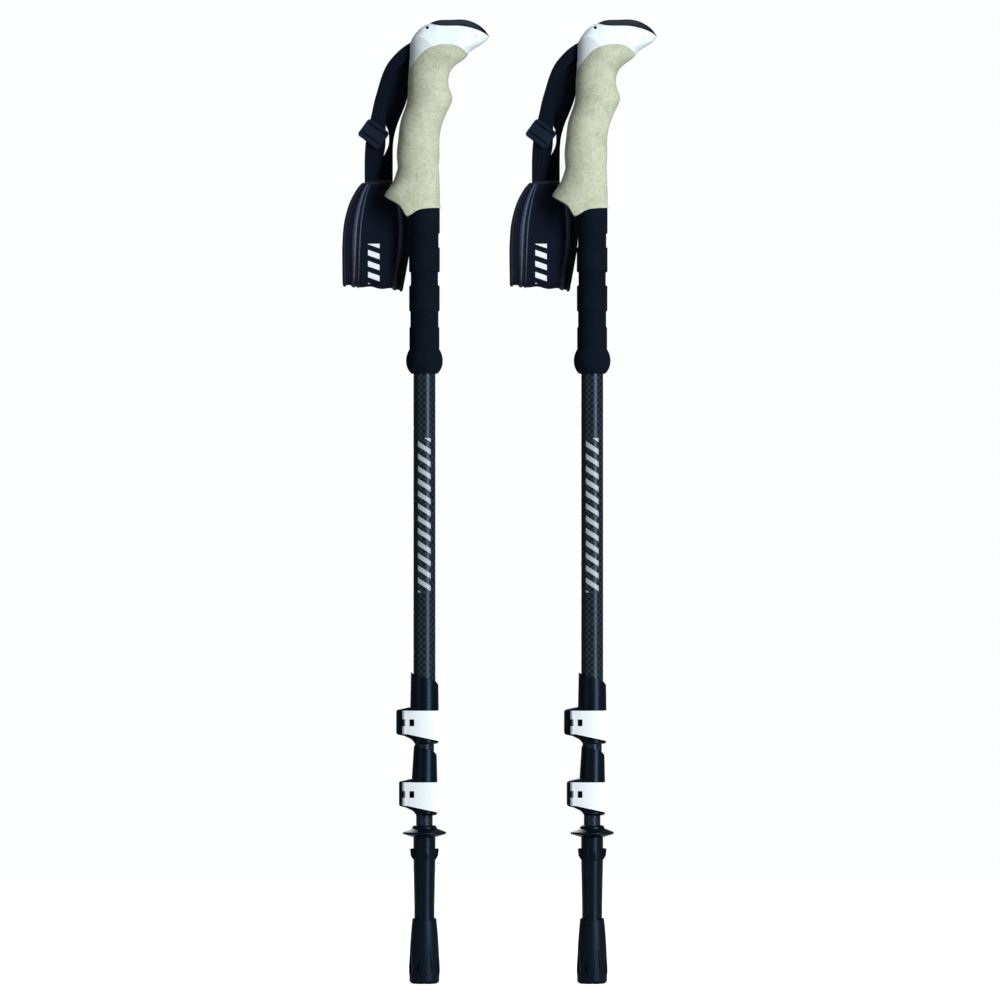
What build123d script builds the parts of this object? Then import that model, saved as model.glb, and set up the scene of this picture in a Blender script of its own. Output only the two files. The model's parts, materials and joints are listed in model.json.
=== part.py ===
"""A pair of three-section trekking poles, collapsed and standing upright.

Millimetres. +Z runs up the poles, +X from the left pole to the right one, and -Y faces the levers' front.
The origin is the middle of the pair's bounding box, at the ground. Each piece is modelled about its own
pole's axis and then written once for each pole.
"""

from build123d import *
import math
import os

# ---- driving dimensions --------------------------------------------------------------------------
TOTAL_LENGTH = 700.0  # collapsed, ground to the top of the head
POLE_SPACING = 121.8  # between the two axes
STRAP_REACH = 58.6  # from the axis to the wrist loop's outer edge
NOSE_REACH = 47.2  # from the axis to the tip of the head
RUN = 0.05  # radial clearance of a running fit

UPPER_R, MIDDLE_R, LOWER_R = 8.0, 7.0, 6.0  # 16, 14 and 12 mm sections
WALL = 0.8
UPPER_TUBE_Z = (203.0, 664.0)
MIDDLE_TUBE_Z = (151.0, 648.0)
LOWER_TUBE_Z = (70.0, 612.0)
BUSH_LENGTH = 24.0
POINT_R = 2.2  # the metal point

BOOT_R = 10.9
BOOT_HEIGHT = 47.3
SOCKET_R = 7.35  # the boot's socket
SOCKET_FLOOR = 12.0
TIP_R = SOCKET_R - RUN
FERRULE_R = 8.0  # under the disc
DISC_R = 15.8
FERRULE_TOP = 114.9

UPPER_BOLT_Z, LOWER_BOLT_Z = 189.7, 137.8
BOLT_X = -13.0  # the clamp bolt, beside the collar
HINGE_Y = -11.3  # the lever's pin, in front of the ears
EAR_Y = 8.0  # half the ears' width
BOLT_R = 1.75
PIN_R = 1.0
EYE_R = 2.1
EYE_HALF = 2.2
SLIT = 1.2

FOAM_R = 11.2
FOAM_BOTTOM = 442.7
GRIP_HALF = 12.4  # half the grip's width along Y at the waist

WEB_T = 1.6  # webbing thickness
STRAP_HINGE_Z = 683.0
PAD_T = 3.6
PAD_FRONT = 13.2  # front face of the wrist pad, just behind the grip's flare
PAD_GAP = 6.0  # room for the hand between the pad's two layers
PAD_TOP = 582.4
PAD_BOTTOM = 504.5
PAD_BACK = PAD_FRONT + 2 * PAD_T + PAD_GAP

POLE_Y = (DISC_R - PAD_BACK) / 2  # puts the bounding box's middle on the origin
LEFT_X = (STRAP_REACH - POLE_SPACING - NOSE_REACH) / 2
SIDES = {"left": LEFT_X, "right": LEFT_X + POLE_SPACING}

os.makedirs("parts", exist_ok=True)


def write_pair(part, name):
    """Write a piece of the left and of the right pole."""
    for side, x in SIDES.items():
        piece = part.moved(Location((x, POLE_Y, 0)))
        piece.label = f"{side}_{name}"
        export_step(piece, f"parts/{side}_{name}.step")


def front_region(corners, edge, depth=80):
    """A slab seen from the front, bounded by a curved edge and straight lines round the corners."""
    with BuildPart(mode=Mode.PRIVATE) as slab:
        with BuildSketch(Plane.XZ):
            with BuildLine():
                curve = Spline(*edge)
                Polyline(curve @ 1, *corners, curve @ 0)
            make_face()
        extrude(amount=depth, both=True)
    return slab.part


def bore(radius, low, length):
    """Cuts a round hole up the pole's axis in the piece being made."""
    with Locations((0, 0, low)):
        Cylinder(radius, length, align=(Align.CENTER, Align.CENTER, Align.MIN), mode=Mode.SUBTRACT)


def cross_hole(x, z, radius):
    """Cuts a round hole from front to back in the piece being made."""
    with BuildSketch(Plane.XZ) as hole:
        with Locations((x, z)):
            Circle(radius)
    extrude(hole.sketch, amount=30, both=True, mode=Mode.SUBTRACT)


# ---- rubber boot ---------------------------------------------------------------------------------
RIM_RAISE = 0.35  # how far the drops' rims stand out
# each drop's lowest point, height and half width: the rim, then the hollow inside it
LONG_DROP = ((5.8, 25.0, 3.3), (8.0, 19.0, 1.9))
SHORT_DROP = ((5.8, 13.0, 2.7), (7.8, 8.5, 1.4))
DROPS = 8


def boot_form(raised):
    """The boot's outer form, swollen by raised."""
    radius = BOOT_R + raised
    with BuildPart(mode=Mode.PRIVATE) as form:
        with BuildSketch(Plane.XZ):
            with BuildLine():
                Line((0, 0), (8.4, 0))
                RadiusArc((8.4, 0), (radius, 2.6), -2.6 - raised)
                Line((radius, 2.6), (radius, 12.4))
                neck = radius - 2.2
                Spline((radius, 12.4), (radius - 0.7, 29.8), (radius - 1.7, 42.5), (neck, BOOT_HEIGHT))
                Polyline((neck, BOOT_HEIGHT), (0, BOOT_HEIGHT), (0, 0))
            make_face()
        revolve(axis=Axis.Z)
    return form.part


def drop(turn, depth, outline):
    """A prism over a drop, round below and pointed above, running outwards from depth under the wall."""
    bottom, height, half = outline
    centre, slope = bottom + half, math.asin(half / (height - half))
    side_x, side_z = half * math.cos(slope), centre + half * math.sin(slope)
    face = Plane.XZ.rotated((0, 0, (turn + 0.5) * 360 / DROPS)).offset(BOOT_R - depth)
    with BuildPart(mode=Mode.PRIVATE) as prism:
        with BuildSketch(face):
            with BuildLine():
                Line((0, bottom + height), (side_x, side_z))
                ThreePointArc((side_x, side_z), (0, bottom), (-side_x, side_z))
                Line((-side_x, side_z), (0, bottom + height))
            make_face()
        extrude(amount=4)
    return prism.part


with BuildPart() as rubber_boot:
    add(boot_form(0))
    raised_form = boot_form(RIM_RAISE)
    for turn in range(DROPS):
        rim, hollow = SHORT_DROP if turn % 2 else LONG_DROP
        add(drop(turn, 2.0, rim) & raised_form)
        add(drop(turn, 1.0, hollow), mode=Mode.SUBTRACT)
    # socket for the ferrule, with a narrower pocket for the metal point
    bore(SOCKET_R, SOCKET_FLOOR, BOOT_HEIGHT)
    bore(POINT_R + 1.0, 5, 8)
    # rim dips at the front and the back
    cross_hole(0, BOOT_HEIGHT + 14.3, 16)
    # tread grooves, clear of the sole's middle
    for turn in range(8):
        with BuildSketch(Plane.XY):
            with Locations(Rot(0, 0, 45 * turn) * Pos(8.5, 0)):
                Rectangle(7, 1.6)
        extrude(amount=1.4, mode=Mode.SUBTRACT)
write_pair(rubber_boot.part, "rubber_boot")

# ---- tip: ferrule and metal point ----------------------------------------------------------------
LUG_TOP = 98.1
with BuildPart() as tip_ferrule:
    with BuildSketch(Plane.XZ):
        with BuildLine():
            Polyline((0, 12.6), (4.4, 12.6), (TIP_R, 17.0), (TIP_R, 56.0), (7.9, 88.0), (FERRULE_R, 106.2))
            Line((FERRULE_R, 106.2), (DISC_R - 0.8, 108.4))
            ThreePointArc((DISC_R - 0.8, 108.4), (DISC_R, 109.3), (DISC_R - 0.8, 110.2))
            Line((DISC_R - 0.8, 110.2), (9.0, 112.6))
            ThreePointArc((9.0, 112.6), (8.4, 114.2), (7.0, FERRULE_TOP))
            Polyline((7.0, FERRULE_TOP), (0, FERRULE_TOP), (0, 12.6))
        make_face()
    revolve(axis=Axis.Z)
    # lugs that hold a snow basket, on both sides
    with BuildSketch(Plane.XZ):
        with BuildLine():
            Polyline((6, 89), (8.3, 90.2), (9.9, 92.8), (10.4, 97.3), (9.8, LUG_TOP), (6, LUG_TOP), (6, 89))
        make_face()
        mirror(about=Plane.YZ)
    extrude(amount=2.6, both=True)
    # latch windows between them, front and back
    for face in (Plane.XZ.offset(FERRULE_R - 1.0), Plane.XZ.offset(1.0 - FERRULE_R)):
        with BuildSketch(face):
            with Locations((0.7, 92.4)):
                RectangleRounded(3.2, 6.2, 0.4)
        extrude(amount=3 if face.origin.Y < 0 else -3, mode=Mode.SUBTRACT)
    # blind socket for the lower tube and a pocket for the metal point
    bore(LOWER_R, LOWER_TUBE_Z[0], 60)
    bore(POINT_R, 0, 26)
write_pair(tip_ferrule.part, "tip_ferrule")

with BuildPart() as carbide_tip:
    with Locations((0, 0, 7)):
        Cylinder(POINT_R, 19, align=(Align.CENTER, Align.CENTER, Align.MIN))
    chamfer(carbide_tip.faces().sort_by(Axis.Z)[0].edges(), 0.7)
    with Locations((0, 0, 6.5)):
        Sphere(1.5, mode=Mode.SUBTRACT)
write_pair(carbide_tip.part, "carbide_tip")


# ---- tubes and their guide bushes ----------------------------------------------------------------
def tube(radius, span):
    """A plain drawn section."""
    low, high = span
    with BuildPart() as section:
        with BuildSketch(Plane.XY.offset(low)):
            Circle(radius)
            Circle(radius - WALL, mode=Mode.SUBTRACT)
        extrude(amount=high - low)
    return section.part


def guide_bush(inner_r, outer_bore, top):
    """A plug in the top end of a tube, with a head that runs in the bore of the next tube."""
    with BuildPart() as bush:
        with BuildSketch(Plane.XY.offset(top - BUSH_LENGTH)):
            Circle(inner_r - WALL)
        extrude(amount=BUSH_LENGTH)
        with BuildSketch(Plane.XY.offset(top)):
            Circle(outer_bore - RUN)
        extrude(amount=6)
        chamfer(bush.faces().sort_by(Axis.Z)[-1].edges(), 0.8)
        with Locations((0, 0, top - BUSH_LENGTH)):
            Cylinder(2.5, 80, mode=Mode.SUBTRACT)
    return bush.part


write_pair(tube(UPPER_R, UPPER_TUBE_Z), "upper_tube")
write_pair(tube(MIDDLE_R, MIDDLE_TUBE_Z), "middle_tube")
write_pair(tube(LOWER_R, LOWER_TUBE_Z), "lower_tube")
write_pair(guide_bush(MIDDLE_R, UPPER_R - WALL, MIDDLE_TUBE_Z[1]), "middle_bush")
write_pair(guide_bush(LOWER_R, MIDDLE_R - WALL, LOWER_TUBE_Z[1]), "lower_bush")


# ---- lever clamps --------------------------------------------------------------------------------
def clamp_ears(bolt_z, collar_r, ear_x):
    """The block the bolt goes through, with a shoulder above and a fall towards the tube below."""
    with BuildPart(mode=Mode.PRIVATE) as ears:
        with BuildSketch(Plane.XZ) as front:
            with BuildLine():
                Polyline(
                    (0, bolt_z + 11.6),
                    (1 - collar_r, bolt_z + 11.3),
                    (-ear_x, bolt_z + 9.0),
                    (-ear_x, bolt_z - 8.6),
                    (-collar_r - 4.0, bolt_z - 9.8),
                    (1 - collar_r, bolt_z - 12.2),
                    (0, bolt_z - 12.6),
                    close=True,
                )
            make_face()
            fillet(front.vertices().group_by(Axis.X)[0], 1.8)
        extrude(amount=EAR_Y, both=True)
        with BuildSketch(Plane.XY.offset(bolt_z - 20)):
            RectangleRounded(2 * ear_x, 2 * EAR_Y, 2.8)
        extrude(amount=40, mode=Mode.INTERSECT)
    return ears.part


def clamp_body(bolt_z, top, radii, shift, slant, ear_x, carrying_r, inner_r, seat):
    """A split collar: its top is bonded round the carrying tube and its lower half grips the inner tube."""
    bottom = bolt_z - 15.6
    collar_r, top_r = radii
    with BuildPart() as body:
        with BuildSketch(Plane.XY.offset(bottom)):
            Circle(collar_r)
        with BuildSketch(Plane.XY.offset(bolt_z + 8)):
            Circle(collar_r)
        with BuildSketch(Plane.XY.offset(top)):
            with Locations((shift, 0)):
                Circle(top_r)
        loft(ruled=True)
        chamfer(body.edges().group_by(Axis.Z)[0], 1.2)
        add(clamp_ears(bolt_z, collar_r, ear_x))
        # slanting cut across the top, higher on the left and rounded off on the right
        with BuildSketch(Plane.XZ):
            with BuildLine():
                rim = Spline(
                    (-collar_r - 1, top + 0.8),
                    (0, top - slant),
                    (0.62 * collar_r, top - slant - 1.9),
                    (0.9 * collar_r, top - slant - 4.4),
                    (collar_r + 0.3, top - slant - 9.5),
                )
                wide, high, low = collar_r + 4, top + 5, (rim @ 1).Y
                Polyline(rim @ 1, (wide, low), (wide, high), (-wide, high), (-wide, top + 0.8), rim @ 0)
            make_face()
        extrude(amount=20, both=True, mode=Mode.SUBTRACT)
        # the lower end falls away on the slit's side
        with BuildSketch(Plane.XZ):
            with BuildLine():
                foot = Spline((-wide, bolt_z - 10.4), (1 - collar_r, bolt_z - 12.4), (0.2 - inner_r, bottom))
                Polyline(foot @ 1, (0.2 - inner_r, bottom - 2), (-wide, bottom - 2), foot @ 0)
            make_face()
        extrude(amount=20, both=True, mode=Mode.SUBTRACT)
        bore(inner_r + RUN, bottom - 1, 80)
        bore(carrying_r, seat, 80)
        # the slit between the ears, and the bolt's hole through them
        with Locations((-20, 0, bolt_z - 3)):
            Box(40, SLIT, 28, mode=Mode.SUBTRACT)
        cross_hole(BOLT_X, bolt_z, BOLT_R + RUN)
    return body.part


def clamp_bolt(bolt_z):
    """An eye bolt along Y, its eye in front and its thread at the back."""
    with BuildPart() as bolt:
        with BuildSketch(Plane.XZ.offset(-HINGE_Y)):
            with Locations((BOLT_X, bolt_z)):
                Circle(BOLT_R)
        extrude(amount=-(10.9 - HINGE_Y))
        with Locations((BOLT_X, HINGE_Y, bolt_z)):
            Cylinder(EYE_R, 2 * EYE_HALF)
            Cylinder(PIN_R, 20, mode=Mode.SUBTRACT)
    return bolt.part


def clamp_pin(bolt_z):
    """The lever's hinge pin."""
    with BuildPart() as pin:
        with Locations((BOLT_X, HINGE_Y, bolt_z)):
            Cylinder(PIN_R, 14)
        chamfer(pin.edges().filter_by(GeomType.CIRCLE), 0.2)
    return pin.part


def clamp_nut(bolt_z):
    """A round thumb nut behind the ears."""
    with BuildPart() as nut:
        with BuildSketch(Plane.XZ.offset(-(EAR_Y + 0.05))):
            with Locations((BOLT_X, bolt_z)):
                Circle(3.6)
                with PolarLocations(3.9, 10):
                    Circle(0.7, mode=Mode.SUBTRACT)
                Circle(BOLT_R + RUN, mode=Mode.SUBTRACT)
        extrude(amount=-3.2)
    return nut.part


def clamp_lever(bolt_z):
    """A cam lever that wraps the collar's front, with a fork round the bolt's eye and two windows."""
    top, low_left, low_right = bolt_z + 8.7, bolt_z - 8.3, bolt_z - 13.9
    tip_x = 16.2
    with BuildPart() as lever:
        with BuildSketch(Plane.XY.offset(low_right)):
            with BuildLine():
                outer = ThreePointArc((-14.4, -13.7), (1.5, -15.5), (tip_x, -11.4))
                inner = ThreePointArc((tip_x - 1.0, -9.2), (1.5, -12.7), (-10.8, -11.2))
                Line(outer @ 1, inner @ 0)
                Line(inner @ 1, outer @ 0)
            make_face()
            with Locations((BOLT_X, HINGE_Y + 0.2)):
                Circle(3.05)
        extrude(amount=top - low_right)
        # the lower edge falls towards the finger end
        with BuildSketch(Plane.XZ):
            with BuildLine():
                Polyline(
                    (-20, low_left),
                    (-12, low_left),
                    (tip_x - 4, low_right + 0.4),
                    (tip_x + 4, low_right - 1),
                    (tip_x + 4, low_right - 9),
                    (-20, low_right - 9),
                    close=True,
                )
            make_face()
        extrude(amount=30, both=True, mode=Mode.SUBTRACT)
        fillet(lever.faces().sort_by(Axis.X)[-1].edges().filter_by(Axis.Z), 0.9)
        # fork round the eye, open to the back and the left, behind a thin front wall
        fork = 2 * EYE_HALF + 0.5
        with Locations((BOLT_X - 2.5, HINGE_Y + 2.45, bolt_z)):
            Box(12, 10, fork, mode=Mode.SUBTRACT)
        for left, right in ((-18.5, -13.6), (-10.6, -7.2)):
            with Locations(((left + right) / 2, HINGE_Y - 4, bolt_z)):
                Box(right - left, 12, fork, mode=Mode.SUBTRACT)
        with Locations((BOLT_X, HINGE_Y, bolt_z - 20)):
            Cylinder(PIN_R + RUN, 27.1, align=(Align.CENTER, Align.CENTER, Align.MIN), mode=Mode.SUBTRACT)
    return lever.part


CLAMPS = {
    "upper": dict(
        bolt_z=UPPER_BOLT_Z,
        top=227.6,
        radii=(10.4, 9.9),
        shift=0.1,
        slant=5.3,
        ear_x=20.4,
        carrying_r=UPPER_R,
        inner_r=MIDDLE_R,
        seat=UPPER_TUBE_Z[0],
    ),
    "lower": dict(
        bolt_z=LOWER_BOLT_Z,
        top=173.4,
        radii=(9.4, 8.2),
        shift=0.6,
        slant=2.6,
        ear_x=18.4,
        carrying_r=MIDDLE_R,
        inner_r=LOWER_R,
        seat=MIDDLE_TUBE_Z[0],
    ),
}
for level, sizes in CLAMPS.items():
    write_pair(clamp_body(**sizes), f"{level}_clamp_body")
    write_pair(clamp_bolt(sizes["bolt_z"]), f"{level}_clamp_bolt")
    write_pair(clamp_pin(sizes["bolt_z"]), f"{level}_clamp_pin")
    write_pair(clamp_nut(sizes["bolt_z"]), f"{level}_clamp_nut")
    write_pair(clamp_lever(sizes["bolt_z"]), f"{level}_clamp_lever")

# ---- handle: one lofted form, parted into cork, head shell and palm pad --------------------------
# height, rear edge, front edge and half width of each level section
SECTIONS = [
    (554, -29.1, 11.4, 12.2),
    (566, -29.1, 11.4, 12.3),
    (572, -29.1, 11.3, GRIP_HALF),
    (576, -26.8, 11.2, GRIP_HALF),
    (581, -23.4, 11.0, 12.3),
    (587, -21.0, 10.9, 12.2),
    (597, -19.8, 10.8, 12.2),
    (611, -19.3, 10.9, 12.4),
    (621, -18.2, 12.2, 12.7),
    (631, -15.8, 15.6, 13.2),
    (638, -13.3, 19.0, 13.6),
    (643.5, -12.3, 20.3, 13.6),
    (649, -12.0, 18.4, 13.2),
    (656, -11.8, 17.4, 13.0),
    (662, -11.4, 18.8, 13.4),
    (667, -11.1, 23.0, 14.0),
    (671, -10.9, 28.6, 14.6),
    (675.5, -10.8, 32.4, 15.1),
    (680, -10.7, 38.4, 15.5),
    (684.5, -10.7, 44.8, 15.6),
    (688, -11.0, NOSE_REACH, 15.6),
    (693, -11.5, 47.0, 15.6),
    (704, -12.5, 45.0, 15.6),
]
# the head's crown in the front view, from the rear over the top to the nose
CROWN = [
    (-11.8, 672),
    (-11.0, 677.5),
    (-10.4, 681.5),
    (-9.5, 685),
    (-7.6, 688.5),
    (-4.2, 692.5),
    (1, 696.3),
    (7, 698.6),
    (15, 699.8),
    (23, TOTAL_LENGTH),
    (31, 699.5),
    (36, 697.8),
    (41, 694.9),
    (45, 690.9),
    (47.6, 686.5),
]
CROWN_HALF, CROWN_BASE = 16.2, 666.0  # the crown's half width, and the level where it is that wide
# where the white head meets the cork, from the rear to the nose
HEAD_EDGE = [
    (-12.5, 662.6),
    (-7.3, 668.1),
    (-1.5, 675.0),
    (6.5, 679.8),
    (15.3, 681.2),
    (22.5, 680.5),
    (27.6, 678.0),
    (33.5, 673.0),
]
# where the palm pad meets the head
PAD_EDGE = [(1.5, 699.4), (4.5, 696.9), (9, 695.4), (25, 694.8), (35, 693), (43, 689.8), (49.5, 685.2)]
# the cork's underside: the flare's tip, its lower face, and the joint with the foam
CORK_EDGE = [(-32, 574), (-22.5, 567.8), (-16.7, 563.4), (-12.4, 557.2), (-6, 560.4), (2, 562.4), (13, 562.9)]

with BuildPart(mode=Mode.PRIVATE) as crown:
    for x, height in CROWN:
        with BuildSketch(Plane.YZ.offset(x)):
            with Locations((0, CROWN_BASE)):
                Ellipse(CROWN_HALF, height - CROWN_BASE)
    loft()
    with Locations((0, 0, CROWN_BASE)):
        Box(120, 2 * CROWN_HALF, 160, align=(Align.CENTER, Align.CENTER, Align.MAX))

with BuildPart() as handle:
    for height, rear, front, half_width in SECTIONS:
        with BuildSketch(Plane.XY.offset(height)):
            with Locations(((rear + front) / 2, 0)):
                Ellipse((front - rear) / 2, half_width)
    loft()
    add(crown.part, mode=Mode.INTERSECT)
above_head_edge = front_region([(60, 640), (60, 760), (-60, 760), (-60, 662)], HEAD_EDGE)
above_pad_edge = front_region([(60, 686), (60, 760), (1, 760)], PAD_EDGE)
below_cork_edge = front_region([(60, 563), (60, 400), (-60, 400), (-60, 574)], CORK_EDGE)

PIN_X, PIN_Z = 2.2, 693.6
PIN_HOLE_R = 1.15
SLOT_TOP, SLOT_LOW = 682.4, 669.5
SLOT_HALF = 2.0
CORE_R, CORE_HEIGHT = 6.0, 11.0


def strap_slot(room):
    """The folded strap tail's space in the head, from the rear exit to the cross pin."""
    with BuildPart(mode=Mode.PRIVATE) as space:
        with BuildSketch(Plane.XZ):
            with BuildLine():
                Polyline(
                    (-14, SLOT_LOW),
                    (-14, SLOT_TOP),
                    (-8.5, SLOT_TOP + 1.8),
                    (0.4, PIN_Z + 0.6),
                    (3.8, PIN_Z + 0.6),
                    (0, SLOT_LOW + 5),
                    close=True,
                )
            make_face()
            if room:
                offset(amount=room)
        extrude(amount=SLOT_HALF + room, both=True)
    return space.part


with BuildPart() as cork_grip:
    add(handle.part)
    add(above_head_edge, mode=Mode.SUBTRACT)
    add(below_cork_edge, mode=Mode.SUBTRACT)
    bore(UPPER_R, 540, UPPER_TUBE_Z[1] - 540)
    add(strap_slot(0.2), mode=Mode.SUBTRACT)
    bore(CORE_R, UPPER_TUBE_Z[1], CORE_HEIGHT)
write_pair(cork_grip.part, "cork_grip")

with BuildPart() as grip_core:
    with Locations((0, 0, UPPER_TUBE_Z[1] - 6)):
        Cylinder(UPPER_R - WALL, 6, align=(Align.CENTER, Align.CENTER, Align.MIN))
    with Locations((0, 0, UPPER_TUBE_Z[1])):
        Cylinder(CORE_R, CORE_HEIGHT, align=(Align.CENTER, Align.CENTER, Align.MIN))
    add(strap_slot(0.2), mode=Mode.SUBTRACT)
write_pair(grip_core.part, "grip_core")

WEDGE_X, WEDGE_Z = 12.0, 690.6
with BuildPart() as strap_wedge:
    with BuildSketch(Plane.YZ.offset(WEDGE_X - 4)):
        with Locations((0, WEDGE_Z)):
            Rectangle(9, 5)
    with BuildSketch(Plane.YZ.offset(WEDGE_X + 4)):
        with Locations((0, WEDGE_Z)):
            Rectangle(9, 3.4)
    loft()
write_pair(strap_wedge.part, "strap_wedge")

DIMPLE_R, DIMPLE_Y = 20.0, 30.4  # a large ball that only grazes the head
with BuildPart() as head_shell:
    add(handle.part)
    add(above_head_edge, mode=Mode.INTERSECT)
    add(above_pad_edge, mode=Mode.SUBTRACT)
    add(strap_slot(0.2), mode=Mode.SUBTRACT)
    add(strap_wedge.part, mode=Mode.SUBTRACT)
    bore(CORE_R, UPPER_TUBE_Z[1], CORE_HEIGHT)
    cross_hole(PIN_X, PIN_Z, PIN_HOLE_R)
    # a shallow dimple for the thumb on each side of the nose
    with Locations((36.5, -DIMPLE_Y, 684.0), (36.5, DIMPLE_Y, 684.0)):
        Sphere(DIMPLE_R, mode=Mode.SUBTRACT)
write_pair(head_shell.part, "head_shell")

with BuildPart() as palm_pad:
    add(handle.part)
    add(above_pad_edge, mode=Mode.INTERSECT)
write_pair(palm_pad.part, "palm_pad")

with BuildPart() as strap_pin:
    with BuildSketch(Plane.XZ):
        with Locations((PIN_X, PIN_Z)):
            Circle(PIN_HOLE_R)
    extrude(amount=6.0, both=True)
write_pair(strap_pin.part, "strap_pin")

ANCHOR_REAR = -10.2  # the fixed tail starts clear of the swinging legs
with BuildPart() as strap_anchor:
    add(strap_slot(0.0))
    split(bisect_by=Plane.YZ.offset(ANCHOR_REAR))
    with Locations((0, 0, 680)):
        Box(60, 0.4, 60, mode=Mode.SUBTRACT)
    cross_hole(PIN_X, PIN_Z, PIN_HOLE_R)
write_pair(strap_anchor.part, "strap_anchor")

# ---- foam grip -----------------------------------------------------------------------------------
# height of each step down the sleeve, and the radius below it
FOAM_STEPS = [
    (570, FOAM_R),
    (544.5, 10.3),
    (534.3, FOAM_R),
    (516.5, 9.9),
    (506.7, 11.1),
    (488.2, 10.2),
    (476.5, 10.9),
]
BULB_TOP = 459.9
with BuildPart() as foam_grip:
    with BuildSketch(Plane.XZ):
        with BuildLine():
            points = [(UPPER_R, FOAM_STEPS[0][0])]
            for (height, radius), (below, _) in zip(FOAM_STEPS, FOAM_STEPS[1:] + [(BULB_TOP, 0)]):
                points += [(radius, height - 0.5), (radius, below + 0.5)]
            Polyline(*points)
            bulb = Spline(points[-1], (13.3, 453.4), (12.0, 446.0), (9.4, FOAM_BOTTOM))
            Polyline(bulb @ 1, (UPPER_R, FOAM_BOTTOM), points[0])
        make_face()
    revolve(axis=Axis.Z)
    add(below_cork_edge, mode=Mode.INTERSECT)
write_pair(foam_grip.part, "foam_grip")

# ---- wrist strap ---------------------------------------------------------------------------------
FRONT_LEG_Y = (-1.0, PAD_FRONT + PAD_T / 2)  # the leg's middle at the head and at the pad
BACK_LEG_Y = (1.0, PAD_BACK - PAD_T / 2)


def hanging_sheet(ends, thickness):
    """A sheet as wide as the strap, seen from the side: straight from the head down to the pad."""
    (top_y, low_y), half = ends, thickness / 2
    with BuildPart(mode=Mode.PRIVATE) as sheet:
        with BuildSketch(Plane.YZ):
            with BuildLine():
                Polyline(
                    (top_y - half, STRAP_HINGE_Z),
                    (top_y + half, STRAP_HINGE_Z),
                    (low_y + half, PAD_TOP + 8),
                    (low_y + half, PAD_TOP),
                    (low_y - half, PAD_TOP),
                    (low_y - half, PAD_TOP + 8),
                    close=True,
                )
            make_face()
        extrude(amount=70, both=True)
    return sheet.part


# outer and inner edge of each leg in the front view
FRONT_LEG = [
    Spline(
        (-11.6, 682.6),
        (-17.4, 678.6),
        (-27.6, 666.7),
        (-33.4, 652.1),
        (-37.8, 634.7),
        (-43.4, 608.5),
        (-43.6, PAD_TOP),
    ),
    Spline((-34, PAD_TOP), (-31, 597), (-28.2, 610), (-28, 644), (-24.7, 660.8), (-11.6, 671.5)),
]
BACK_LEG = [
    Spline((-11.6, 681), (-24, 667), (-29.6, 647), (-28.8, 627), (-26.2, 613), (-32, 598), (-42, PAD_TOP)),
    Spline((-23.3, PAD_TOP), (-23.2, 611), (-19.6, 625.5), (-13.8, 639.5), (-11, 651), (-10.6, 664.5)),
]


def strap_leg(edges, ends, thickness=WEB_T):
    """A leg of the strap: a hanging sheet cut to the leg's outline."""
    outer, inner = edges
    with BuildPart() as leg:
        with BuildSketch(Plane.XZ):
            with BuildLine():
                add(outer)
                Line(outer @ 1, inner @ 0)
                add(inner)
                Line(inner @ 1, outer @ 0)
            make_face()
        extrude(amount=60, both=True)
        add(hanging_sheet(ends, thickness), mode=Mode.INTERSECT)
    return leg.part


with BuildPart() as strap_webbing:
    add(strap_leg(FRONT_LEG, FRONT_LEG_Y))
    add(strap_leg(BACK_LEG, BACK_LEG_Y))
write_pair(strap_webbing.part, "strap_webbing")

SLIDER_X, SLIDER_Z = -37.2, 617.4
SLIDER_TURN = math.radians(36)
SLIDER_HALF = 2.9  # half its thickness
lean = (FRONT_LEG_Y[1] - FRONT_LEG_Y[0]) / (STRAP_HINGE_Z - PAD_TOP - 8)
slider_plane = Plane(
    (SLIDER_X, FRONT_LEG_Y[0] + lean * (STRAP_HINGE_Z - SLIDER_Z), SLIDER_Z),
    x_dir=(math.cos(SLIDER_TURN), 0, -math.sin(SLIDER_TURN)),
    z_dir=(0, -1, 0),
)
with BuildPart() as strap_slider:
    with BuildSketch(slider_plane):
        RectangleRounded(18.6, 15, 2.4)
    extrude(amount=SLIDER_HALF, both=True)
    chamfer(strap_slider.faces().sort_by(Axis.Y)[0].edges(), 0.5)
    chamfer(strap_slider.faces().sort_by(Axis.Y)[-1].edges(), 0.5)
    # two slots between three bars, in the front and in the back
    for side in (1, -1):
        with BuildSketch(slider_plane.offset(side * (SLIDER_HALF + 0.5))):
            with Locations((0, 4.6), (0, -3.6)):
                SlotOverall(15.6, 1.8)
        extrude(amount=-side * 1.9, mode=Mode.SUBTRACT)
    add(strap_leg(FRONT_LEG, FRONT_LEG_Y, WEB_T + 0.3), mode=Mode.SUBTRACT)
write_pair(strap_slider.part, "strap_slider")

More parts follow.
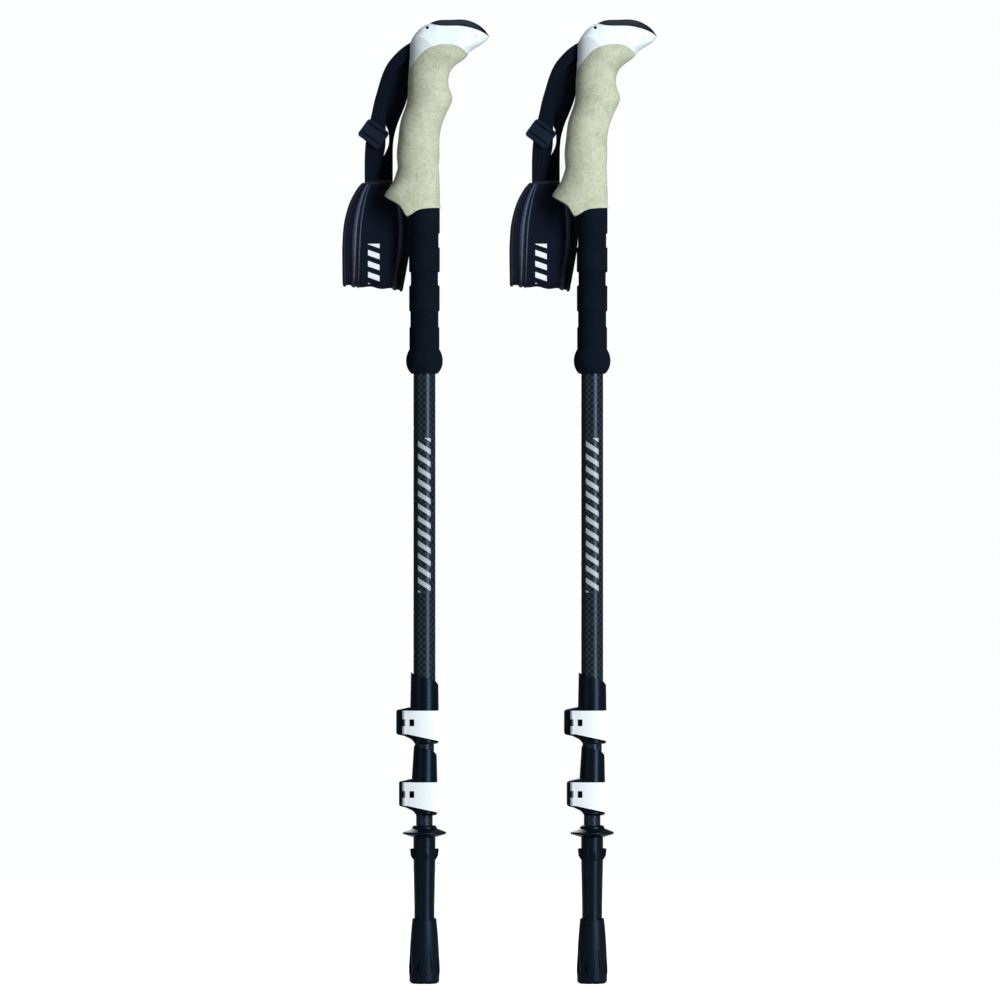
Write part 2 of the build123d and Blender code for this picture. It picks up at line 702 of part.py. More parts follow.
PAD_LEFT = [
    (-43.8, PAD_TOP),
    (-48.6, 576.4),
    (-53.8, 566.0),
    (-57.4, 552.0),
    (-STRAP_REACH, 536.0),
    (-STRAP_REACH, PAD_BOTTOM),
]
PAD_RIGHT = [
    (-17.6, PAD_BOTTOM),
    (-14.5, 520.0),
    (-11.9, 536.0),
    (-11.6, 552.0),
    (-14.0, 566.0),
    (-19.0, 576.0),
    (-23.2, PAD_TOP),
]
with BuildPart() as wrist_pad:
    middle_y = (PAD_FRONT + PAD_BACK) / 2
    outer_r = (PAD_BACK - PAD_FRONT) / 2
    with BuildSketch(Plane.YZ):
        with Locations((middle_y, PAD_BOTTOM + outer_r)):
            Circle(outer_r)
        with Locations((middle_y, (PAD_TOP + PAD_BOTTOM + outer_r) / 2)):
            Rectangle(2 * outer_r, PAD_TOP - PAD_BOTTOM - outer_r)
        with Locations((middle_y, PAD_BOTTOM + outer_r)):
            Circle(outer_r - PAD_T, mode=Mode.SUBTRACT)
        with Locations((middle_y, (PAD_TOP + PAD_BOTTOM + outer_r) / 2)):
            Rectangle(2 * (outer_r - PAD_T), PAD_TOP - PAD_BOTTOM - outer_r, mode=Mode.SUBTRACT)
    extrude(amount=70, both=True)
    with BuildSketch(Plane.XZ):
        with BuildLine():
            left = Spline(*PAD_LEFT)
            right = Spline(*PAD_RIGHT)
            Line(left @ 1, right @ 0)
            Line(right @ 1, left @ 0)
        make_face()
    extrude(amount=60, both=True, mode=Mode.INTERSECT)
write_pair(wrist_pad.part, "wrist_pad")
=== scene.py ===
"""The looks of a pair of trekking poles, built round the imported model.

Metres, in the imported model's frame: +Z up the poles, -Y towards the front of the clamp levers.
"""

import json
import math

import bpy
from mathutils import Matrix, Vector


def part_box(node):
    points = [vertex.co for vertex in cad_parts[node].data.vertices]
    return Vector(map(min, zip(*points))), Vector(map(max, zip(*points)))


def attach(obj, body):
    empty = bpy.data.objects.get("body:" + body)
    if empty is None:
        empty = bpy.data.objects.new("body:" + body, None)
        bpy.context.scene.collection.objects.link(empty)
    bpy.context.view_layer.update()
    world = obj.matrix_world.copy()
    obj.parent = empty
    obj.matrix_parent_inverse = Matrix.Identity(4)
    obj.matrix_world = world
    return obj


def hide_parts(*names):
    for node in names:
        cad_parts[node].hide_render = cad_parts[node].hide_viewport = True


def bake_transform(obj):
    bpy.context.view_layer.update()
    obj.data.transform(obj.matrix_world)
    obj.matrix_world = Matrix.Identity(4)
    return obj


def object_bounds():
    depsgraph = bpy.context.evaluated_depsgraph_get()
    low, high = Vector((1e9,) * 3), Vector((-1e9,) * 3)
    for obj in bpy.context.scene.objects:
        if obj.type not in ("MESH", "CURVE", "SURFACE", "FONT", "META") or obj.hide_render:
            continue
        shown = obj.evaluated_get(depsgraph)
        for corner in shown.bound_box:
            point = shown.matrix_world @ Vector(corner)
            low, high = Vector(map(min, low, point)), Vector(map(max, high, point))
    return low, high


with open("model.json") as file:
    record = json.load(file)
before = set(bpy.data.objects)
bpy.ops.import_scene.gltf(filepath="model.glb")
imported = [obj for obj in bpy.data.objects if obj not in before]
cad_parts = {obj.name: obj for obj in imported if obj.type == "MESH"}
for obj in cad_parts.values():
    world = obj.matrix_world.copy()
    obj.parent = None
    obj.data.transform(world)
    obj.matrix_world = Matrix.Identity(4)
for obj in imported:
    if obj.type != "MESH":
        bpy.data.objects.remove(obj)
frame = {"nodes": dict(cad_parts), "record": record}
cad_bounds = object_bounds()

MM = 0.001
SIDES = ("left", "right")
HEIGHT = cad_bounds[1].z
POLE_SHARE = 0.963  # how much of the view's height the poles fill
VIEW_WIDTH = HEIGHT / POLE_SHARE


def pole_axis(side):
    """The point on the ground under a pole's axis."""
    low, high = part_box(f"{side}_rubber_boot")
    return Vector(((low[0] + high[0]) / 2, (low[1] + high[1]) / 2, 0))


AXES = {side: pole_axis(side) for side in SIDES}

# ---- camera, light and floor ---------------------------------------------------------------------
scene = bpy.context.scene
scene.view_settings.view_transform = "Standard"

LENS, SENSOR = 250.0, 36.0
AIM_X, AIM_Z = -0.0003, HEIGHT / 2 + 0.001
camera_data = bpy.data.cameras.new("camera")
camera_data.lens, camera_data.sensor_width = LENS, SENSOR
camera = bpy.data.objects.new("camera", camera_data)
scene.collection.objects.link(camera)
camera.location = (AIM_X, -VIEW_WIDTH * LENS / SENSOR, AIM_Z)
camera.rotation_euler = (math.radians(90), 0, 0)
scene.camera = camera


LIGHT_TINT = (0.92, 0.97, 1.0)


def soft_light(name, place, width, height, power):
    """A large lamp aimed at the middle of the poles."""
    data = bpy.data.lights.new(name, "AREA")
    data.shape, data.size, data.size_y, data.energy = "RECTANGLE", width, height, power
    data.color = LIGHT_TINT
    lamp = bpy.data.objects.new(name, data)
    scene.collection.objects.link(lamp)
    lamp.location = place
    aim = Vector((0, 0, HEIGHT / 2)) - lamp.location
    lamp.rotation_euler = aim.to_track_quat("-Z", "Y").to_euler()


soft_light("key_light", (1.7, -2.2, 1.1), 0.6, 2.2, 104)
soft_light("fill_light", (-2.0, -1.8, 0.7), 1.0, 1.8, 5)
soft_light("top_light", (0.2, 0.2, 2.4), 1.4, 1.4, 14)
soft_light("back_light", (-0.4, 2.6, 1.0), 0.8, 1.8, 16)

SURROUND, SEEN_SURROUND = 0.07, 1.02  # how bright the studio is as light, and to the eye
FLOOR_GLOW = 0.85  # how bright the pale floor looks, besides the light that falls on it
world = bpy.data.worlds.new("studio")
world.use_nodes = True
backing = world.node_tree.nodes["Background"]
backing.inputs["Color"].default_value = (0.97, 0.985, 1.0, 1.0)
scene.world = world


# ---- node helpers --------------------------------------------------------------------------------
def colour(red, green, blue):
    """A shader colour from display values of 0 to 255."""
    shares = [c / 255 for c in (red, green, blue)]
    return tuple(s / 12.92 if s <= 0.04045 else ((s + 0.055) / 1.055) ** 2.4 for s in shares) + (1.0,)


def put(tree, kind, sockets=None, **settings):
    """Adds a node; a socket's value is a constant or another node's output."""
    node = tree.nodes.new(kind)
    for name, value in settings.items():
        setattr(node, name, value)
    for name, value in (sockets or {}).items():
        if isinstance(value, bpy.types.NodeSocket):
            tree.links.new(value, node.inputs[name])
        else:
            node.inputs[name].default_value = value
    return node


def calc(tree, operation, *values):
    """A Math node's output."""
    return put(tree, "ShaderNodeMath", dict(enumerate(values)), operation=operation).outputs[0]


def remap(tree, value, low, high, new_low=0.0, new_high=1.0):
    """value carried from one range to another, clamped."""
    sockets = {"Value": value, "From Min": low, "From Max": high, "To Min": new_low, "To Max": new_high}
    return put(tree, "ShaderNodeMapRange", sockets).outputs["Result"]


def blend_colours(tree, mask, first, second):
    """first where mask is 0, second where it is 1."""
    node = put(tree, "ShaderNodeMix", data_type="RGBA")
    for socket, value in zip((node.inputs[0], node.inputs[6], node.inputs[7]), (mask, first, second)):
        if isinstance(value, bpy.types.NodeSocket):
            tree.links.new(value, socket)
        else:
            socket.default_value = value
    return node.outputs[2]


def noise(tree, vector, scale, detail=3.0, roughness=0.5):
    """A Noise Texture's value."""
    sockets = {"Vector": vector, "Scale": scale, "Detail": detail, "Roughness": roughness}
    return put(tree, "ShaderNodeTexNoise", sockets).outputs["Fac"]


def object_space(tree, origin=(0, 0, 0), scale=(1, 1, 1)):
    """Object coordinates, measured from origin and stretched by scale."""
    place = put(tree, "ShaderNodeTexCoord").outputs["Object"]
    shift = [-start * stretch for start, stretch in zip(origin, scale)]
    sockets = {"Vector": place, "Location": shift, "Scale": scale}
    return put(tree, "ShaderNodeMapping", sockets).outputs["Vector"]


def new_group(name, inputs, outputs):
    """A shader node group with the named sockets; inputs map a name to its default."""
    tree = bpy.data.node_groups.new(name, "ShaderNodeTree")
    for label, default in inputs.items():
        kind = "NodeSocketVector" if default is None else "NodeSocketFloat"
        socket = tree.interface.new_socket(name=label, in_out="INPUT", socket_type=kind)
        if default is not None:
            socket.default_value = default
    for label in outputs:
        tree.interface.new_socket(name=label, in_out="OUTPUT", socket_type="NodeSocketFloat")
    return tree, tree.nodes.new("NodeGroupInput").outputs, tree.nodes.new("NodeGroupOutput")


def use_group(tree, group, **sockets):
    """Places a shared group in a material."""
    node = tree.nodes.new("ShaderNodeGroup")
    node.node_tree = group
    for name, value in sockets.items():
        socket = node.inputs[name.replace("_", " ")]
        if isinstance(value, bpy.types.NodeSocket):
            tree.links.new(value, socket)
        else:
            socket.default_value = value
    return node.outputs


def moulded_group():
    """The faint grain and uneven gloss of a moulded surface."""
    inputs = {"Vector": None, "Grain": 2600.0, "Gloss": 0.4, "Spread": 0.1}
    tree, given, out = new_group("moulded_surface", inputs, ("Roughness", "Height"))
    grain = noise(tree, given["Vector"], given["Grain"], 2.0)
    patches = noise(tree, given["Vector"], 55.0, 3.0)
    mixed = calc(tree, "ADD", patches, calc(tree, "MULTIPLY", grain, 0.3))
    centred = calc(tree, "SUBTRACT", mixed, 0.65)  # 0.65 is the mixture's mean
    uneven = calc(tree, "MULTIPLY", centred, given["Spread"])
    tree.links.new(calc(tree, "ADD", given["Gloss"], uneven), out.inputs["Roughness"])
    tree.links.new(grain, out.inputs["Height"])
    return tree


def scuff_group():
    """Fine scratches and rubbed spots, as a mask."""
    tree, given, out = new_group("scuffs", {"Vector": None, "Amount": 0.5}, ("Mask",))
    stretch = {"Vector": given["Vector"], "Rotation": (0.5, 0.3, 0.9), "Scale": (260, 1900, 420)}
    stretched = put(tree, "ShaderNodeMapping", stretch)
    lines = noise(tree, stretched.outputs["Vector"], 1.0, 2.0)
    spots = noise(tree, given["Vector"], 90.0, 4.0, 0.7)
    scratches = remap(tree, lines, 0.66, 0.74)
    where = remap(tree, spots, 0.48, 0.68)
    marks = calc(tree, "MULTIPLY", scratches, where)
    tree.links.new(calc(tree, "MULTIPLY", marks, given["Amount"]), out.inputs["Mask"])
    return tree


def weave_group():
    """Webbing: ribs along the length with a herringbone of short threads across them."""
    inputs = {"Across": 0.0, "Along": 0.0, "Rib": 1.5, "Thread": 0.62}
    tree, given, out = new_group("webbing_weave", inputs, ("Height", "Thread"))
    rib = calc(tree, "PINGPONG", given["Across"], given["Rib"])
    slant = calc(tree, "ADD", given["Along"], rib)
    turns = calc(tree, "MULTIPLY", calc(tree, "DIVIDE", slant, given["Thread"]), 2 * math.pi)
    thread = calc(tree, "MULTIPLY_ADD", calc(tree, "SINE", turns), 0.5, 0.5)
    edge = remap(tree, calc(tree, "DIVIDE", rib, given["Rib"]), 0.0, 0.25, 0.35, 1.0)
    tree.links.new(calc(tree, "MULTIPLY", thread, edge), out.inputs["Height"])
    tree.links.new(thread, out.inputs["Thread"])
    return tree


MOULDED, SCUFFS, WEAVE = moulded_group(), scuff_group(), weave_group()

eye = put(world.node_tree, "ShaderNodeLightPath").outputs["Is Camera Ray"]
studio_glow = remap(world.node_tree, eye, 0.0, 1.0, SURROUND, SEEN_SURROUND)
world.node_tree.links.new(studio_glow, backing.inputs["Strength"])


def new_material(name, **constants):
    """A material with a Principled shader whose plain values are set on its own sockets."""
    material = bpy.data.materials.new(name)
    material.use_nodes = True
    shader = material.node_tree.nodes["Principled BSDF"]
    for label, value in constants.items():
        shader.inputs[label.replace("_", " ")].default_value = value
    return material, material.node_tree, shader


def finish_shader(tree, shader, base=None, rough=None, height=None, depth=0.0001, strength=0.6):
    """Joins what varies over the surface to the shader; depth is the relief in metres."""
    if base is not None:
        tree.links.new(base, shader.inputs["Base Color"])
    if rough is not None:
        tree.links.new(rough, shader.inputs["Roughness"])
    if height is not None:
        bump = put(tree, "ShaderNodeBump", {"Height": height, "Distance": depth, "Strength": strength})
        tree.links.new(bump.outputs["Normal"], shader.inputs["Normal"])


# ---- materials -----------------------------------------------------------------------------------
COOL = colour(150, 190, 235)  # the cold tint that black surfaces give to reflections
BLACK = (colour(4, 7, 11), colour(9, 14, 21))


def moulded_material(name, tones, gloss, spread, grain, relief, scuffed, scuff, **constants):
    """Plain moulded plastic or rubber between two close tones, with a little wear."""
    material, tree, shader = new_material(name, **constants)
    place = object_space(tree)
    skin = use_group(tree, MOULDED, Vector=place, Grain=grain, Gloss=gloss, Spread=spread)
    base = blend_colours(tree, noise(tree, place, 70.0, 4.0), *tones)
    marks = use_group(tree, SCUFFS, Vector=place, Amount=scuffed)["Mask"]
    base = blend_colours(tree, marks, base, scuff)
    finish_shader(tree, shader, base, skin["Roughness"], skin["Height"], relief)
    return material


def steel_material(name, dark, light):
    """Turned and lightly brushed steel."""
    material, tree, shader = new_material(name, Metallic=1.0)
    place = object_space(tree)
    lines = noise(tree, object_space(tree, scale=(300, 300, 5200)), 1.0, 2.0)
    skin = use_group(tree, MOULDED, Vector=place, Grain=1800.0, Gloss=0.3, Spread=0.15)
    base = blend_colours(tree, lines, dark, light)
    finish_shader(tree, shader, base, skin["Roughness"], lines, 0.00003)
    return material


# The tubes' weave and marks, in millimetres up the pole and radians round it
WEAVES_ROUND, WEAVE_HEIGHT = 11.0, 4.58
FIBRES = 6.0  # fine threads to a weave repeat
SLASH_PITCH, SLASH_SHARE, SLASH_RISE = 9.0, 0.42, 5.0
SLASH_MIDDLE, SLASH_REACH, SLASH_TURN = 340.0, 56.0, 0.62
MARKED_R = 7.9  # only the upper tube's outside is further out


def carbon_material(side):
    """Clear-coated carbon weave round a pole's axis, its light and dark cells a painted sheen, with plain
    silver slashes down the upper tube.
    """
    material, tree, shader = new_material(
        f"carbon_{side}",
        Specular_IOR_Level=0.3,
        Specular_Tint=COOL,
        Coat_Weight=0.12,
        Coat_Roughness=0.28,
    )
    place = object_space(tree, AXES[side], (1 / MM, 1 / MM, 1 / MM))
    parts = put(tree, "ShaderNodeSeparateXYZ", {"Vector": place}).outputs
    angle = calc(tree, "ARCTAN2", parts["X"], calc(tree, "MULTIPLY", parts["Y"], -1.0))
    around = calc(tree, "MULTIPLY", angle, WEAVES_ROUND)
    along = calc(tree, "MULTIPLY", parts["Z"], 2 * math.pi / WEAVE_HEIGHT)
    woven = calc(tree, "MULTIPLY", calc(tree, "COSINE", around), calc(tree, "COSINE", along))
    cell = remap(tree, woven, -0.12, 0.12)
    rising = calc(tree, "MULTIPLY", calc(tree, "ADD", around, along), FIBRES)
    falling = calc(tree, "MULTIPLY", calc(tree, "SUBTRACT", around, along), FIBRES)
    threads = {0: cell, 2: calc(tree, "SINE", rising), 3: calc(tree, "SINE", falling)}
    fibres = put(tree, "ShaderNodeMix", threads).outputs[0]
    # The lighter cells are painted sheen: the light that fibres running one way catch, put into the base
    # colour along with the fine thread lines.
    painted_weave_sheen = calc(tree, "MULTIPLY_ADD", fibres, 0.1, calc(tree, "MULTIPLY_ADD", cell, 0.62, 0.12))
    cloud = calc(tree, "MULTIPLY_ADD", noise(tree, place, 0.12, 3.0), 0.5, -0.25)
    base = blend_colours(tree, calc(tree, "ADD", painted_weave_sheen, cloud), colour(3, 5, 8), colour(46, 54, 61))
    mark = slash_mask(tree, parts, angle)
    base = blend_colours(tree, mark, base, colour(168, 174, 178))
    skin = use_group(tree, MOULDED, Vector=object_space(tree), Grain=900.0, Gloss=0.3, Spread=0.1)
    finish_shader(tree, shader, base, skin["Roughness"], fibres, 0.00002, 0.4)
    return material


def slash_mask(tree, parts, angle):
    """A run of slanting bars in a window on the front of the upper tube."""
    climb = calc(tree, "MULTIPLY_ADD", angle, SLASH_RISE, parts["Z"])
    slant = calc(tree, "FRACT", calc(tree, "DIVIDE", climb, SLASH_PITCH))
    bar = calc(tree, "LESS_THAN", slant, SLASH_SHARE)
    tall = calc(tree, "COMPARE", parts["Z"], SLASH_MIDDLE, SLASH_REACH)
    wide = calc(tree, "COMPARE", angle, 0.0, SLASH_TURN)
    outside = calc(tree, "GREATER_THAN", radius_of(tree, parts), MARKED_R)
    window = calc(tree, "MULTIPLY", wide, outside)
    return calc(tree, "MULTIPLY", calc(tree, "MULTIPLY", bar, tall), window)


def radius_of(tree, parts):
    """Distance from the axis, from separated coordinates."""
    squares = [calc(tree, "MULTIPLY", parts[axis], parts[axis]) for axis in "XY"]
    return calc(tree, "SQRT", calc(tree, "ADD", *squares))


def foam_material():
    """Black closed-cell foam with fine open pores."""
    material, tree, shader = new_material("eva_foam", Specular_IOR_Level=0.16, Specular_Tint=COOL)
    place = object_space(tree)
    pores = put(tree, "ShaderNodeTexVoronoi", {"Vector": place, "Scale": 1500.0}).outputs["Distance"]
    grain = noise(tree, place, 2400.0, 2.0)
    base = blend_colours(tree, noise(tree, place, 60.0, 4.0), colour(6, 10, 16), colour(13, 20, 29))
    # The pores' darker centres are painted shade in the pits that the relief cuts.
    base = blend_colours(tree, remap(tree, pores, 0.0, 0.35, 0.7, 0.0), base, colour(4, 6, 9))
    rough = remap(tree, grain, 0.3, 0.7, 0.78, 0.95)
    relief = calc(tree, "ADD", pores, calc(tree, "MULTIPLY", grain, 0.5))
    finish_shader(tree, shader, base, rough, relief, 0.00012)
    return material


CORK_GRANULES = 720.0  # granules to a metre
CORK_WARP = 0.0016  # how far their edges wander


def cork_material():
    """Pale pressed cork: fine soft granules, broad mottling and sparse dark flecks."""
    material, tree, shader = new_material("cork")
    place = object_space(tree)
    drift = put(tree, "ShaderNodeTexNoise", {"Vector": place, "Scale": 420.0, "Detail": 3.0})
    pull = {0: drift.outputs["Color"], 1: (CORK_WARP, CORK_WARP, CORK_WARP), 2: place}
    warped = put(tree, "ShaderNodeVectorMath", pull, operation="MULTIPLY_ADD").outputs["Vector"]
    cells = {"Vector": warped, "Scale": CORK_GRANULES}
    granules = put(tree, "ShaderNodeTexVoronoi", cells)
    tone = put(tree, "ShaderNodeSeparateColor", {"Color": granules.outputs["Color"]}).outputs
    edge = put(tree, "ShaderNodeTexVoronoi", cells, feature="DISTANCE_TO_EDGE")
    seams = edge.outputs["Distance"]
    clouds = noise(tree, place, 75.0, 5.0, 0.62)
    mottle = remap(tree, clouds, 0.32, 0.68)
    pale = remap(tree, tone["Red"], 0.0, 1.0, 0.0, 0.34)
    olive = remap(tree, tone["Green"], 0.7, 1.0, 0.0, 0.3)
    joints = remap(tree, seams, 0.0, 0.12, 0.16, 0.0)
    fleck_mask = remap(tree, noise(tree, warped, 620.0, 2.0), 0.67, 0.73)
    base = blend_colours(tree, mottle, colour(164, 168, 138), colour(196, 199, 177))
    base = blend_colours(tree, pale, base, colour(214, 215, 196))
    base = blend_colours(tree, olive, base, colour(136, 137, 101))
    base = blend_colours(tree, joints, base, colour(130, 129, 96))
    base = blend_colours(tree, calc(tree, "MULTIPLY", fleck_mask, 0.6), base, colour(92, 86, 58))
    relief = calc(tree, "SUBTRACT", remap(tree, seams, 0.0, 0.14), fleck_mask)
    rough = remap(tree, clouds, 0.3, 0.7, 0.7, 0.84)
    finish_shader(tree, shader, base, rough, relief, 0.00009, 0.55)
    return material


def uv_space(tree):
    """The piece's own map in millimetres: across, along."""
    where = put(tree, "ShaderNodeUVMap", uv_map="cloth").outputs["UV"]
    parts = put(tree, "ShaderNodeSeparateXYZ", {"Vector": where}).outputs
    return calc(tree, "MULTIPLY", parts["X"], 1 / MM), calc(tree, "MULTIPLY", parts["Y"], 1 / MM)


RIB, THREAD = 1.5, 0.62  # the webbing's ribs and threads, in millimetres


def webbing_material():
    """Dark herringbone polyester webbing."""
    material, tree, shader = new_material(
        "webbing",
        Specular_IOR_Level=0.2,
        Specular_Tint=COOL,
        Sheen_Weight=0.06,
        Sheen_Roughness=0.4,
        Sheen_Tint=colour(80, 105, 170),
    )
    across, along = uv_space(tree)
    weave = use_group(tree, WEAVE, Across=across, Along=along, Rib=RIB, Thread=THREAD)
    # The colour follows the weave's relief: the hollows between threads and ribs are painted shade.
    base = blend_colours(tree, weave["Height"], colour(4, 6, 11), colour(18, 22, 34))
    dusty = remap(tree, noise(tree, object_space(tree), 70.0, 4.0), 0.4, 0.75, 0.0, 0.4)
    base = blend_colours(tree, dusty, base, colour(14, 17, 26))
    rough = remap(tree, weave["Thread"], 0.0, 1.0, 0.85, 0.62)
    finish_shader(tree, shader, base, rough, weave["Height"], 0.00022, 0.9)
    return material


# The wrist band's knit and printed bars, in millimetres from the pole's axis and the ground
KNIT = 0.9
BAR_X, BAR_HALF_WIDTH = -37.0, 4.2
BAR_Z, BAR_REACH = 522.0, 15.6
BAR_START, BAR_PITCH, BAR_SHARE, BAR_SLOPE = 490.8, 8.0, 0.5, 0.35
PRINTED_Y = 15.5  # the print is in front of this depth


def band_material(side):
    """The wrist band's fine knit, with four plain white bars printed low on the front."""
    material, tree, shader = new_material(
        f"band_knit_{side}",
        Specular_IOR_Level=0.2,
        Specular_Tint=COOL,
        Sheen_Weight=0.08,
        Sheen_Roughness=0.45,
        Sheen_Tint=colour(80, 105, 170),
    )
    turns = [calc(tree, "MULTIPLY", part, 2 * math.pi / KNIT) for part in uv_space(tree)]
    loops = calc(tree, "MULTIPLY", *[calc(tree, "SINE", turn) for turn in turns])
    knit = calc(tree, "MULTIPLY_ADD", loops, 0.5, 0.5)
    place = object_space(tree, AXES[side], (1 / MM, 1 / MM, 1 / MM))
    # The colour follows the knit's relief: the hollows between loops are painted shade.
    base = blend_colours(tree, knit, colour(6, 8, 16), colour(18, 22, 35))
    worn = remap(tree, noise(tree, place, 0.06, 4.0), 0.4, 0.7, 0.0, 0.5)
    base = blend_colours(tree, worn, base, colour(13, 17, 29))
    base = blend_colours(tree, bar_mask(tree, place), base, colour(236, 238, 242))
    rough = remap(tree, knit, 0.0, 1.0, 0.9, 0.7)
    finish_shader(tree, shader, base, rough, knit, 0.00015, 0.8)
    return material


def bar_mask(tree, place):
    """The printed bars: a slanting run in a window on the band's front."""
    parts = put(tree, "ShaderNodeSeparateXYZ", {"Vector": place}).outputs
    height = calc(tree, "SUBTRACT", parts["Z"], BAR_START)
    climb = calc(tree, "MULTIPLY_ADD", parts["X"], BAR_SLOPE, height)
    phase = calc(tree, "FRACT", calc(tree, "DIVIDE", climb, BAR_PITCH))
    bars = calc(tree, "LESS_THAN", phase, BAR_SHARE)
    wide = calc(tree, "COMPARE", parts["X"], BAR_X, BAR_HALF_WIDTH)
    tall = calc(tree, "COMPARE", parts["Z"], BAR_Z, BAR_REACH)
    front = calc(tree, "LESS_THAN", parts["Y"], PRINTED_Y)
    window = calc(tree, "MULTIPLY", wide, tall)
    return calc(tree, "MULTIPLY", calc(tree, "MULTIPLY", bars, window), front)


SHEEN_FADE_BOTTOM, SHEEN_FADE_TOP = 0.518, 0.54  # the tape's painted sheen fades out between these heights, darker below


def piping_material():
    """Dark satin tape whose blue-grey tone is painted sheen."""
    material, tree, shader = new_material(
        "satin_piping",
        Specular_IOR_Level=0.4,
        Sheen_Weight=0.15,
        Sheen_Roughness=0.3,
        Sheen_Tint=colour(150, 165, 215),
    )
    place = object_space(tree)
    threads = noise(tree, object_space(tree, scale=(2500, 2500, 500)), 1.0, 2.0)
    # The light blue-grey is painted sheen, mixed in by the threads' noise.
    base = blend_colours(tree, threads, colour(22, 28, 44), colour(58, 70, 98))
    height = put(tree, "ShaderNodeSeparateXYZ", {"Vector": place}).outputs["Z"]
    # Painted sheen shows only above a height and is darker below it.
    bright = remap(tree, height, SHEEN_FADE_BOTTOM, SHEEN_FADE_TOP)
    base = blend_colours(tree, bright, colour(13, 15, 24), base)
    rough = remap(tree, noise(tree, place, 300.0), 0.3, 0.7, 0.38, 0.55)
    finish_shader(tree, shader, base, rough, threads, 0.00008)
    return material


def tape_material(name, dark, light):
    """Plain spun thread or narrow tape."""
    constants = {"Specular_IOR_Level": 0.25, "Sheen_Weight": 0.08, "Sheen_Roughness": 0.4}
    material, tree, shader = new_material(name, **constants)
    threads = noise(tree, object_space(tree, scale=(3000, 3000, 700)), 1.0, 2.0)
    base = blend_colours(tree, threads, dark, light)
    rough = remap(tree, threads, 0.3, 0.7, 0.6, 0.85)
    finish_shader(tree, shader, base, rough, threads, 0.00008)
    return material


materials = {
    "boot_rubber": moulded_material(
        "boot_rubber",
        (colour(4, 7, 11), colour(9, 14, 20)),
        gloss=0.46,
        spread=0.18,
        grain=1500.0,
        relief=0.00008,
        scuffed=0.4,
        scuff=colour(40, 45, 52),
        Specular_IOR_Level=0.28,
        Specular_Tint=COOL,
    ),
    "tip_plastic": moulded_material(
        "tip_plastic",
        BLACK,
        gloss=0.33,
        spread=0.14,
        grain=2200.0,
        relief=0.00003,
        scuffed=0.3,
        scuff=colour(48, 53, 62),
        Specular_IOR_Level=0.3,
        Specular_Tint=COOL,
    ),
    "hard_metal": steel_material("steel", colour(150, 152, 156), colour(206, 208, 212)),
    # Darkened steel: painted shade for the strap pin sitting deep in its hole.
    "painted_shade_steel": steel_material("painted_shade_steel", colour(14, 16, 20), colour(34, 37, 43)),
    "bush_plastic": moulded_material(
        "bush_plastic",
        (colour(88, 90, 95), colour(112, 114, 120)),
        gloss=0.5,
        spread=0.15,
        grain=2600.0,
        relief=0.00004,
        scuffed=0.4,
        scuff=colour(112, 114, 120),
    ),
    "clamp_plastic": moulded_material(
        "clamp_plastic",
        BLACK,
        gloss=0.33,
        spread=0.14,
        grain=2400.0,
        relief=0.00004,
        scuffed=0.3,
        scuff=colour(50, 55, 64),
        Specular_IOR_Level=0.3,
        Specular_Tint=COOL,
    ),
    "lever_plastic": moulded_material(
        "lever_plastic",
        (colour(228, 231, 236), colour(243, 245, 249)),
        gloss=0.24,
        spread=0.12,
        grain=1400.0,
        relief=0.00001,
        scuffed=0.25,
        scuff=colour(196, 199, 205),
        Coat_Weight=0.3,
        Coat_Roughness=0.08,
    ),
    "head_plastic": moulded_material(
        "head_plastic",
        (colour(229, 238, 244), colour(243, 248, 252)),
        gloss=0.36,
        spread=0.12,
        grain=1200.0,
        relief=0.00001,
        scuffed=0.2,
        scuff=colour(200, 208, 215),
        Coat_Weight=0.15,
        Coat_Roughness=0.2,
    ),
    "soft_rubber": moulded_material(
        "soft_rubber",
        (colour(5, 8, 15), colour(10, 15, 26)),
        gloss=0.5,
        spread=0.12,
        grain=2100.0,
        relief=0.00009,
        scuffed=0.2,
        scuff=colour(34, 38, 50),
        Specular_IOR_Level=0.3,
        Specular_Tint=COOL,
    ),
    "buckle_plastic": moulded_material(
        "buckle_plastic",
        (colour(12, 17, 26), colour(27, 35, 49)),
        gloss=0.3,
        spread=0.14,
        grain=2300.0,
        relief=0.00003,
        scuffed=0.4,
        scuff=colour(80, 94, 116),
        Specular_Tint=COOL,
    ),
    "eva_foam": foam_material(),
    "cork": cork_material(),
    "webbing": webbing_material(),
    "satin_piping": piping_material(),
    "binding_tape": tape_material("binding_tape", colour(9, 10, 17), colour(28, 30, 44)),
    "thread": tape_material("thread", colour(24, 27, 40), colour(56, 62, 84)),
}
materials["steel"] = materials["hard_metal"]
for side in SIDES:
    materials[f"carbon_{side}"] = carbon_material(side)
    materials[f"band_{side}"] = band_material(side)


def dress(piece, key):
    """Gives a piece one material in every slot."""
    piece.data.materials.clear()
    piece.data.materials.append(materials[key])


slot_of = {row["node"]: row["material_slot"] for row in frame["record"]["subparts"]}
for name, node in frame["nodes"].items():
    key = slot_of[name]
    if key == "carbon_tube":
        key = "carbon_" + name.split("_")[0]
    if key == "padded_fabric":
        key = "webbing"
    # The strap pin takes the darkened steel, painted shade of its recessed hole.
    if name.endswith("strap_pin"):
        key = "painted_shade_steel"
    dress(node, key)


# ---- cloth sheets --------------------------------------------------------------------------------
def smooth_between(stations, share):
    """The point at a share of the way along a list of stations, on a smooth curve through them."""
    last = len(stations) - 1
    spot = min(share * last, last - 0.000001)
    first = int(spot)
    part = spot - first
    nearby = [stations[min(max(first + step, 0), last)] for step in (-1, 0, 1, 2)]
    point = []
    for before, start, end, after in zip(*nearby):
        bend = 2 * before - 5 * start + 4 * end - after
        twist = 3 * start - before - 3 * end + after
        point.append(0.5 * (2 * start + (end - before) * part + bend * part ** 2 + twist * part ** 3))
    return point


def limited(value):
    """The value kept between 0 and 1."""
    return min(max(value, 0.0), 1.0)


